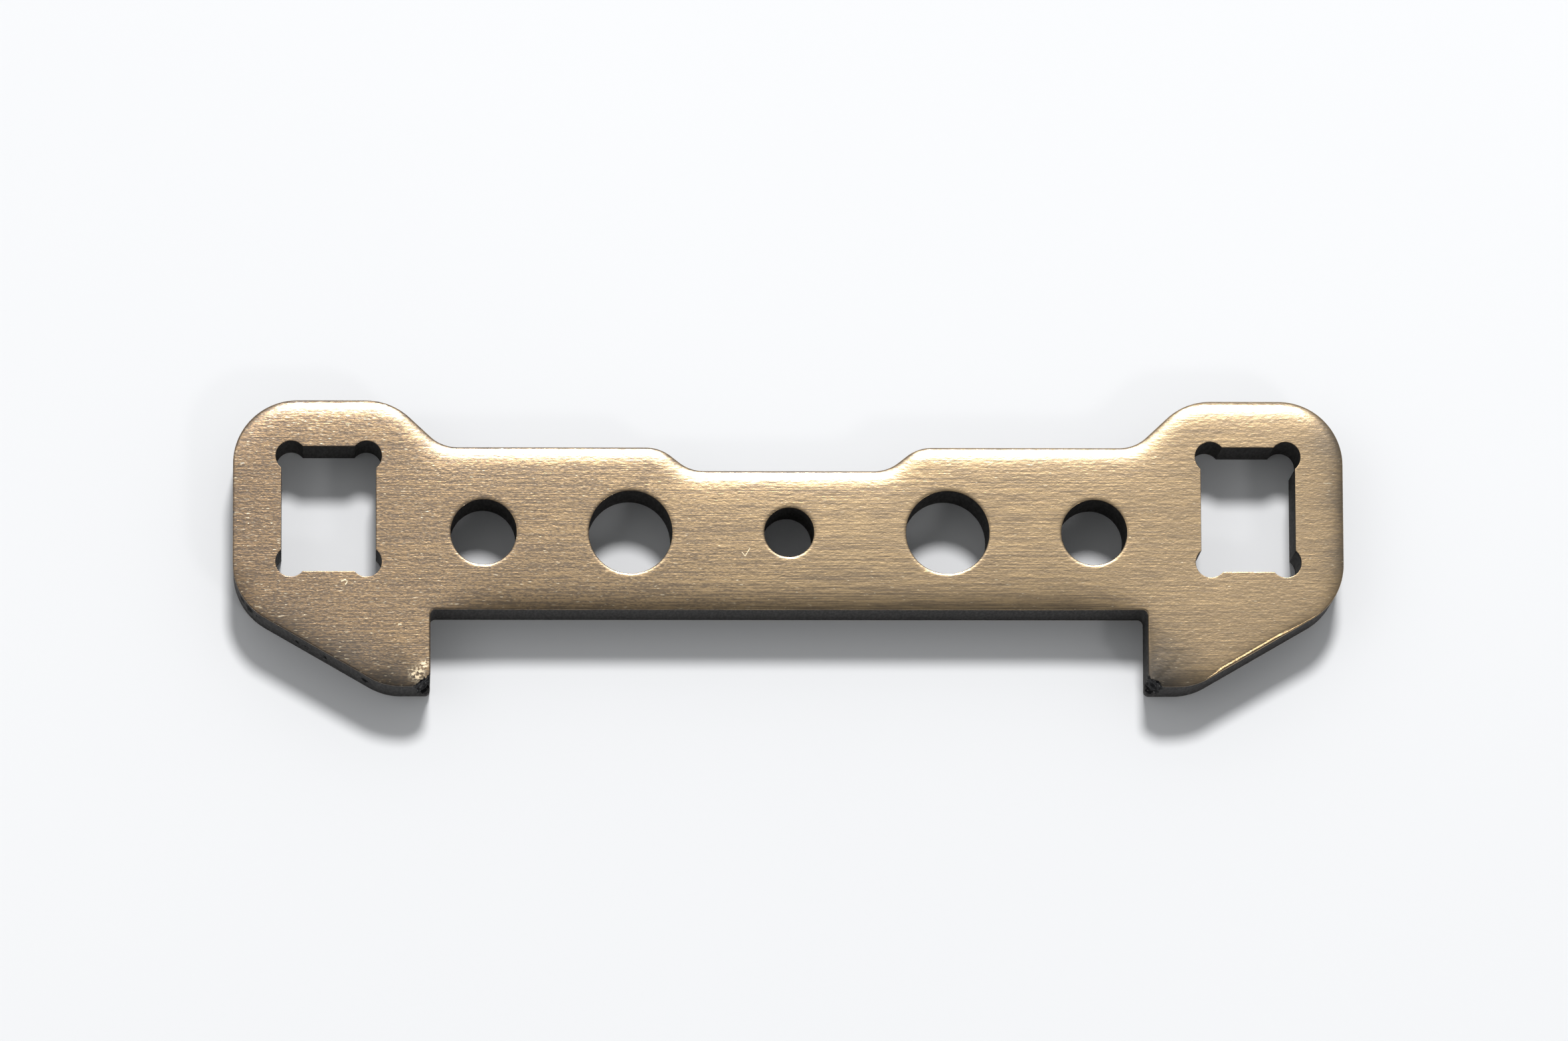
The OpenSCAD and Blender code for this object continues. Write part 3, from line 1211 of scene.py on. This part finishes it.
@dataclass
class MountingPlate:
    """The plate: its outline, screw holes, bush windows, chipped toes and finish.

    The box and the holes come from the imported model. The other sizes follow the plate's drawing.
    """

    shoulder_top: float = 5.35
    saddle_top: float = 3.87
    saddle_ramp_x: float = 7.1
    saddle_ramp_angle: float = 38.0
    ear_ramp_x: float = 23.2
    ear_ramp_angle: float = 43.0
    half_recess: float = 22.33
    web_depth: float = 4.85
    heel_corner_depth: float = 4.26
    toe_width: float = 2.88
    wide_radius: float = 4.0
    ramp_radius: float = 2.5
    recess_radius: float = 0.35
    tip_radius: float = 0.3
    window_width: float = 5.9
    window_height: float = 7.85
    relief_radius: float = 0.95
    relief_inset: float = 0.6
    relief_step: float = 6.0
    window_run_step: float = 0.4
    crown: Crown = Crown(width=3.6, slope=15.0, fading=0.36, lip=0.08, tail_slope=2.0, tail_fading=1.5)
    worn_runs: Sequence[WornRun] = (
        WornRun((-34.6, -1.5), (-34.6, 4.0), reach=4.5, share=0.1),
        WornRun((34.6, -1.5), (34.6, 4.0), reach=4.0, share=0.85),
        WornRun((-30.5, 8.3), (-26.5, 8.3), reach=2.5, share=1.15),
        WornRun((30.5, 8.3), (26.5, 8.3), reach=2.5, share=1.35),
        WornRun((-33.0, -5.2), (-27.2, -8.5), reach=2.5, share=0.35),
        WornRun((33.0, -5.2), (27.2, -8.5), reach=2.5, share=0.3),
        WornRun((-24.8, -9.68), (-23.2, -9.68), reach=1.5, share=1.5),
        WornRun((24.8, -9.68), (23.2, -9.68), reach=1.5, share=1.5),
        WornRun((-22.33, -4.85), (-22.33, -8.3), reach=4.0, share=0.1),
        WornRun((22.33, -4.85), (22.33, -5.0), reach=3.0, share=0.15),
        WornRun((-17.0, -4.85), (17.0, -4.85), reach=2.5, share=1.5),
    )
    bevels: Sequence[BevelledRun] = (BevelledRun((26.14, -9.14), (32.6, -5.41), width=0.27, slope=20.0),)
    bore_crown: Crown = Crown(width=0.2, slope=14.0, fading=0.08, lip=0.03)
    window_crown: Crown = Crown(width=0.06, slope=4.0, fading=0.03, lip=0.02)
    back_break: float = 0.12
    hole_break: float = 0.04
    rings: int = 18
    ring_growth: float = 1.6
    ring_margin: float = 0.05
    ridge_share: float = 0.45
    easing_rounds: int = 30
    sharp_angle: float = 40.0
    face_finish: AnodisedFinish = field(default_factory=AnodisedFinish)
    wall_finish: MilledFinish = field(default_factory=MilledFinish)
    broken_finish: FractureFinish = field(default_factory=FractureFinish)
    chips: Sequence[TipChip] = (
        TipChip(Side.LEFT, up_wall=0.85, along_toe=1.05, shelf=3.7, shift=3.7),
        TipChip(Side.RIGHT, up_wall=0.85, along_toe=0.95, shelf=3.7, shift=9.2),
    )
    marks: Sequence[Mark] = (
        Mark(-30.75, -6.75, 2.4, 0.42, 0.06),
        Mark(-30.2, -7.1, 2.2, 0.46, 0.06),
        Mark(-29.0, -7.75, 2.6, 0.42, 0.06),
        Mark(-26.5, -9.1, 2.4, 0.40, 0.05),
        Mark(-34.57, 1.2, 4.72, 0.16, 0.05),
        Mark(-34.3, -4.2, 3.4, 0.60, 0.0),
        Mark(-33.9, -4.9, 3.3, 0.75, 0.0),
        Mark(-33.3, -5.5, 3.2, 0.60, 0.0),
    )
    scratches: Sequence[Scratch] = (
        Scratch((-2.75, -1.5), (-2.45, -1.0)),
        Scratch((-2.75, -1.5), (-2.95, -1.25)),
        Scratch((-27.85, -3.1), (-27.6, -3.0), width=0.05),
        Scratch((-27.6, -3.3), (-27.5, -3.15), width=0.05),
        Scratch((-24.3, -5.8), (-24.15, -5.8), width=0.06),
    )
    # Painted shade at the toes, the left heel, the right ear and the right edge, where the face rolls away
    # from the light.
    painted_shades: Sequence[PaintedShade] = (
        PaintedShade(22.5, -9.3, radius=4.6, depth=0.8),
        PaintedShade(-24.6, -9.6, radius=2.8, depth=0.6),
        PaintedShade(-31.2, -6.4, radius=3.2, depth=0.4),
        PaintedShade(-27.8, -8.2, radius=3.2, depth=0.5),
        PaintedShade(34.2, 5.6, radius=2.8, depth=0.5),
        PaintedShade(34.9, 2.2, radius=2.6, depth=0.5),
        PaintedShade(34.9, -1.4, radius=2.6, depth=0.5),
    )
    # Worn spots at the left toe's tip, whose golden glitter also paints in the front lamp's sparkle there.
    glinting_rubs: Sequence[GlintingRub] = (
        GlintingRub(-23.15, -8.9, 0.8),
        GlintingRub(-22.7, -8.3, 0.4),
    )

    FACE, BROKEN = 1, 2
    SAME_SPOT = 1e-6
    SAME_TIP = 0.02

    def __post_init__(self) -> None:
        """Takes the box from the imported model."""
        low, high = (Vector(corner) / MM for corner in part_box(NODE))
        self.half_length = high.x
        self.ear_top = high.y
        self.toe_depth = -low.y
        self.thickness = high.z

    def build(self) -> bpy.types.Object:
        """Lofts every edge, closes the two faces and knocks the chips and nicks in.

        Returns:
            The plate's object, its place in its mesh.
        """
        blemishes_and_painted_light = BlemishesAndPaintedLight(self.marks, self.scratches, self.glinting_rubs, self.painted_shades)
        finishes = self.wall_finish.make(blemishes_and_painted_light), self.face_finish.make(blemishes_and_painted_light)
        sweep = SweptEdge()
        outline = OutlineSampler(self._corners()).sample()
        outline.share = np.prod([run.at(outline.points) for run in self.worn_runs], axis=0)
        edges = [sweep.loft("outer_edge", outline, self._outer(), *finishes)]
        openings: list[np.ndarray] = []
        for name, path, section in self._holes():
            edges.append(self._sink(sweep.loft(name, path, section, *finishes), outline))
            openings.append(path.inset(section.inner))
        mesh = bpy.data.meshes.new("milled_plate")
        shape = self._close(edges, outline, openings)
        self._wear(shape)
        shape.to_mesh(mesh)
        shape.free()
        for finish in (*finishes, self.broken_finish.make()):
            mesh.materials.append(finish)
        mesh.set_sharp_from_angle(angle=math.radians(self.sharp_angle))
        plate = bpy.data.objects.new("milled_plate", mesh)
        bpy.context.scene.collection.objects.link(plate)
        return plate

    def dress(self, plate: bpy.types.Object) -> None:
        """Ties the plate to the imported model.

        Args:
            plate: The plate's object.
        """
        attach(plate, BODY)
        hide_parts(NODE)

    def _corners(self) -> list[Corner]:
        """Lists the outline's corners counter-clockwise from the right of the recess.

        Returns:
            The corners of both halves.
        """
        saddle_run = (self.shoulder_top - self.saddle_top) / math.tan(math.radians(self.saddle_ramp_angle))
        ear_run = (self.ear_top - self.shoulder_top) / math.tan(math.radians(self.ear_ramp_angle))
        right = [
            Corner(self.half_recess, -self.web_depth, self.recess_radius),
            Corner(self.half_recess, -self.toe_depth, self.tip_radius),
            Corner(self.half_recess + self.toe_width, -self.toe_depth, self.wide_radius),
            Corner(self.half_length, -self.heel_corner_depth, self.wide_radius),
            Corner(self.half_length, self.ear_top, self.wide_radius),
            Corner(self.ear_ramp_x + ear_run / 2, self.ear_top, self.wide_radius),
            Corner(self.ear_ramp_x - ear_run / 2, self.shoulder_top, self.ramp_radius),
            Corner(self.saddle_ramp_x + saddle_run / 2, self.shoulder_top, self.ramp_radius),
            Corner(self.saddle_ramp_x - saddle_run / 2, self.saddle_top, self.ramp_radius),
        ]
        return right + [Corner(-c.x, c.y, c.radius) for c in reversed(right)]

    def _outer(self) -> EdgeSection:
        """Section of the outer edge, up to where the tips' own radius ends."""
        return EdgeSection(self.thickness, self.crown, self.tip_radius, self.back_break,
                           wall_step=0.15, crown_steps=4, break_steps=4)

    def _hole(self, crown: Crown) -> EdgeSection:
        """Section of a hole's edge."""
        return EdgeSection(self.thickness, crown, crown.width, self.hole_break,
                           wall_step=0.5, crown_steps=4, break_steps=3)

    def _holes(self) -> Iterable[tuple[str, EdgePath, EdgeSection]]:
        """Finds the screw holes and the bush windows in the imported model's record.

        Returns:
            Name, path and section of each hole's edge.
        """
        for mount in frame["record"]["mounts"]:
            x, y = (value / MM for value in mount["pos_m"][:2])
            if mount["kind"] == "bore":
                yield mount["name"], bore_path(x, y, mount["dims"]["r_mm"]), self._hole(self.bore_crown)
            elif mount["name"].endswith("window"):
                yield mount["name"], self._window(x, y), self._hole(self.window_crown)

    def _window(self, x: float, y: float) -> EdgePath:
        """Samples the edge of a bush window with its four relieved corners.

        Args:
            x: Centre along the plate.
            y: Centre up the face.

        Returns:
            The stations, clockwise, so that the metal is on their left.
        """
        half = np.array((self.window_width, self.window_height)) / 2
        opening = math.acos(self.relief_inset / self.relief_radius)
        crossing = math.sqrt(self.relief_radius ** 2 - self.relief_inset ** 2)
        sweep = math.pi / 2 + 2 * opening
        steps = math.ceil(math.degrees(sweep) / self.relief_step)
        mitre = opening / 2
        points: list[np.ndarray] = []
        way_in: list[np.ndarray] = []
        for quarter in range(4):
            heading = math.pi / 2 * (1 - quarter)
            along = np.array((round(math.cos(heading)), round(math.sin(heading))))
            left = np.array((-along[1], along[0]))
            reach, depth = abs(along @ half), abs(left @ half)
            run = reach - self.relief_inset - crossing
            stations = max(2, math.ceil(2 * run / self.window_run_step))
            for k in range(stations + 1):
                spot = along * (2 * run * k / stations - run) + left * depth
                lean = {0: -mitre, stations: mitre}.get(k, 0.0)
                stretch = 1.0 / math.cos(lean)
                points.append(spot)
                way_in.append(stretch * (left * math.cos(lean) - along * math.sin(lean)))
            centre = along * (reach - self.relief_inset) + left * (depth - self.relief_inset)
            for k in range(1, steps):
                angle = math.pi / 2 + opening - sweep * k / steps
                outward = along * math.cos(angle) + left * math.sin(angle)
                points.append(centre + self.relief_radius * outward)
                way_in.append(outward)
        return EdgePath(np.array((x, y)) + np.array(points), np.array(way_in))

    def _sink(self, edge: bpy.types.Mesh, outline: EdgePath) -> bpy.types.Mesh:
        """Lowers a hole's edge by the tail of the outer crown, so that it meets the face round it.

        Args:
            edge: The lofted edge, in metres.
            outline: Stations of the outer edge.

        Returns:
            The same mesh.
        """
        spots = np.array([vert.co for vert in edge.vertices])
        gaps = np.linalg.norm(spots[:, None, :2] * PER_MM - outline.points[None], axis=2)
        nearest = gaps.argmin(axis=1)
        drops = np.array([self.crown.drop(gap) for gap in gaps.min(axis=1)]) * outline.share[nearest]
        spots[:, 2] *= 1.0 - drops / self.thickness
        edge.vertices.foreach_set("co", spots.ravel())
        return edge

    def _close(self, edges: Sequence[bpy.types.Mesh], outline: EdgePath,
               openings: Sequence[np.ndarray]) -> bmesh.types.BMesh:
        """Joins the lofted edges and fills the face and the back between them.

        Args:
            edges: The lofted edges, in metres.
            outline: Stations of the outer edge.
            openings: Loop round each hole in the face.

        Returns:
            The closed plate, in millimetres.
        """
        shape = bmesh.new()
        for edge in edges:
            shape.from_mesh(edge)
            bpy.data.meshes.remove(edge)
        bmesh.ops.scale(shape, vec=(PER_MM,) * 3, verts=shape.verts)
        middle = self.thickness / 2
        inner_ends = [vert for vert in shape.verts if vert.is_boundary and vert.co.z > middle]
        bmesh.ops.remove_doubles(shape, verts=inner_ends, dist=self.SAME_TIP)
        rims = [edge for edge in shape.edges if edge.is_boundary]
        back = [edge for edge in rims if edge.verts[0].co.z < middle]
        filled = bmesh.ops.triangle_fill(shape, edges=back, use_beauty=True)["geom"]
        for face in (part for part in filled if isinstance(part, bmesh.types.BMFace)):
            face.material_index = self.FACE
        front = [edge for edge in rims if edge.verts[0].co.z > middle]
        self._crown_face(shape, front, outline, openings)
        bmesh.ops.recalc_face_normals(shape, faces=shape.faces)
        for face in shape.faces:
            face.smooth = True
        open_edges = sum(not edge.is_manifold for edge in shape.edges)
        LOG.info("closed plate: %d faces, %d open edges", len(shape.faces), open_edges)
        return shape

    def _crown_face(self, shape: bmesh.types.BMesh, rims: Sequence[bmesh.types.BMEdge],
                    outline: EdgePath, openings: Sequence[np.ndarray]) -> None:
        """Fills the face over rings of points that follow the outer edge and drop towards it.

        Args:
            shape: The joined edges, in millimetres.
            rims: Open edges round the face and round its holes.
            outline: Stations of the outer edge.
            openings: Loop round each hole in the face.
        """
        order: dict[bmesh.types.BMVert, int] = {}
        bounds = [tuple(order.setdefault(vert, len(order)) for vert in edge.verts) for edge in rims]
        known = list(order)
        spots = [vert.co.xy for vert in known]
        heights = [vert.co.z for vert in known]
        ridge = [False] * len(known)
        reach = outline.reach()
        for k in range(1, self.rings + 1):
            share = (k / self.rings) ** self.ring_growth
            distance = self.tip_radius + (self.crown.width - self.tip_radius) * share
            clear = reach > distance + self.ring_margin
            spots.extend(Vector(spot) for spot in outline.inset(distance)[clear])
            heights.extend(self.thickness - self.crown.drop(distance) * outline.share[clear])
            ridge.extend((reach < self.crown.width)[clear] & (distance > self.ridge_share * reach[clear]))
        flat, _, triangles, sources, _, _ = delaunay_2d_cdt(spots, bounds, [], 1, self.SAME_SPOT)
        centres = np.array(flat)[np.array(triangles)].mean(axis=1)
        cut_away = np.any([enclosed(loop, centres) for loop in openings], axis=0)
        added: dict[int, bmesh.types.BMVert] = {}
        for triangle, gone in zip(triangles, cut_away):
            if gone:
                continue
            corners: list[bmesh.types.BMVert] = []
            for k in triangle:
                source = sources[k][0]
                if source >= len(known) and k not in added:
                    added[k] = shape.verts.new((*flat[k], heights[source]))
                corners.append(added[k] if source >= len(known) else known[source])
            shape.faces.new(corners).material_index = self.FACE
        eased = [vert for k, vert in added.items() if ridge[sources[k][0]]]
        for _ in range(self.easing_rounds):
            bmesh.ops.smooth_vert(shape, verts=eased, factor=0.5, use_axis_z=True)

    def _wear(self, shape: bmesh.types.BMesh) -> None:
        """Presses the bevels, knocks the chips off the toes, dents the nicks and goes back to metres.

        Args:
            shape: The closed plate, in millimetres.
        """
        for bevel in self.bevels:
            bevel.press(shape, self.thickness)
        for chip in self.chips:
            moved = chip.knock(shape, self.half_recess, self.toe_depth, self.thickness)
            for face in {face for vert in moved for face in vert.link_faces}:
                if moved.issuperset(face.verts):
                    face.material_index = self.BROKEN
            LOG.info("%s toe: %d vertices chipped", chip.side.name.lower(), len(moved))
        shape.normal_update()
        for mark in (mark for mark in self.marks if mark.depth):
            for vert in shape.verts:
                near = (vert.co * Mark.SQUASH - mark.place).length / mark.radius
                if near < 1.0:
                    vert.co -= vert.normal * mark.depth * (1.0 - near * near) ** 2
        bmesh.ops.scale(shape, vec=(MM,) * 3, verts=shape.verts)


@dataclass(frozen=True)
class Lamp:
    """A round studio lamp aimed at the middle of the plate.

    Attributes:
        role: Which lamp it is.
        towards: Direction from the plate to the lamp.
        light: Light on the floor from it, as a share of the light that shows white.
        distance: Distance from the plate, in metres.
        width: Diameter, in metres.
    """

    role: LampRole
    towards: tuple[float, float, float]
    light: float
    distance: float
    width: float

    def hang(self) -> bpy.types.Object:
        """Makes the lamp.

        Returns:
            The lamp's object.
        """
        way = Vector(self.towards).normalized()
        data = bpy.data.lights.new(self.role.value, "AREA")
        data.shape = "DISK"
        data.size = self.width
        data.energy = (math.pi * self.distance) ** 2 * self.light / way.z
        lamp = bpy.data.objects.new(self.role.value, data)
        turned = way.to_track_quat("Z", "Y").to_matrix().to_4x4()
        lamp.matrix_world = Matrix.Translation(way * self.distance) @ turned
        bpy.context.scene.collection.objects.link(lamp)
        return lamp


@dataclass
class Studio:
    """White paper under a key lamp, two weak lamps and soft light that is stronger from behind.

    Attributes:
        paper: Finish of the floor.
        half_floor: Half the side of the floor, in metres.
        sky_low: Soft light from the horizon, as a share of the light that shows white.
        sky_high: Soft light from straight above.
        sky_tilt: How much stronger it is from behind and weaker from the front.
        sky_colour: Colour of the soft light.
        lamps: The lamps.
    """

    paper: PaperFinish = field(default_factory=PaperFinish)
    half_floor: float = 2.0
    sky_low: float = 0.16
    sky_high: float = 0.42
    sky_tilt: float = 0.7
    sky_colour: Colour = (0.97, 0.99, 1.0)
    lamps: Sequence[Lamp] = (
        Lamp(LampRole.KEY, (0.04, 0.5, 0.866), light=0.64, distance=1.2, width=0.20),
        Lamp(LampRole.FRONT, (0.43, -0.45, 0.78), light=0.04, distance=1.0, width=0.14),
        Lamp(LampRole.LEFT, (-0.5, 0.1, 0.86), light=0.03, distance=1.0, width=0.5),
    )

    def build(self) -> None:
        """Lays the floor, hangs the lamps and sets the world."""
        edge = self.half_floor
        mesh = bpy.data.meshes.new("paper_floor")
        mesh.from_pydata([(-edge, -edge, 0.0), (edge, -edge, 0.0), (edge, edge, 0.0), (-edge, edge, 0.0)],
                         [], [(0, 1, 2, 3)])
        mesh.materials.append(self.paper.make())
        floor = bpy.data.objects.new("paper_floor", mesh)
        bpy.context.scene.collection.objects.link(floor)
        for lamp in self.lamps:
            lamp.hang()
        bpy.context.scene.world = self._world()
        bpy.context.scene.view_settings.view_transform = "Standard"

    def _world(self) -> bpy.types.World:
        """Makes the soft light.

        Returns:
            The world.
        """
        world = bpy.data.worlds.new("studio_light")
        world.use_nodes = True
        world.node_tree.nodes.clear()
        sheet = NodeSheet(world.node_tree)
        way = sheet.add("ShaderNodeSeparateXYZ", {0: sheet.add("ShaderNodeTexCoord").outputs["Generated"]})
        tilt = sheet.plus(sheet.times(way.outputs["Y"], self.sky_tilt), 1.0)
        height = sheet.line(way.outputs["Z"], UNIT, (self.sky_low, self.sky_high))
        light = sheet.add("ShaderNodeBackground", {
            "Color": (*self.sky_colour, 1.0), "Strength": sheet.times(height, tilt)})
        sheet.add("ShaderNodeOutputWorld", {"Surface": light.outputs[0]})
        return world


@dataclass(frozen=True)
class PhotoCamera:
    """Camera where the photograph was taken from.

    Attributes:
        place: Place of the camera, in millimetres.
        aim: Point of the face in the middle of the picture, in millimetres.
        roll: Turn of the picture, in degrees.
        focal_pixels: Focal length in pixels of the whole picture.
    """

    place: tuple[float, float, float] = (-28.717, -106.142, 728.440)
    aim: tuple[float, float, float] = (-0.3231, 0.7345, 5.0)
    roll: float = 0.2544
    focal_pixels: float = 17700.0

    def build(self) -> bpy.types.Object:
        """Makes the camera the scene's own.

        Returns:
            The camera's object.
        """
        data = bpy.data.cameras.new("photo_camera")
        data.sensor_width = SENSOR_WIDTH
        data.lens = self.focal_pixels * SENSOR_WIDTH / IMAGE_WIDTH
        back = (Vector(self.place) - Vector(self.aim)).normalized()
        turn = math.radians(self.roll)
        right = Vector((math.sin(turn), math.cos(turn), 0.0)).cross(back).normalized()
        up = back.cross(right)
        axes = Matrix((right, up, back)).transposed().to_4x4()
        camera = bpy.data.objects.new("photo_camera", data)
        camera.matrix_world = Matrix.Translation(Vector(self.place) * MM) @ axes
        bpy.context.scene.collection.objects.link(camera)
        bpy.context.scene.camera = camera
        return camera


def main() -> None:
    """Builds the plate, the studio and the camera, and reports the plate and the camera."""
    logging.basicConfig(level=logging.INFO, format="%(message)s")
    maker = MountingPlate()
    plate = maker.build()
    maker.dress(plate)
    LOG.info("%s: %d polygons", plate.name, len(plate.data.polygons))
    Studio().build()
    camera = PhotoCamera().build()
    LOG.info("%s: lens %.1f mm", camera.name, camera.data.lens)


if __name__ == "__main__":
    main()
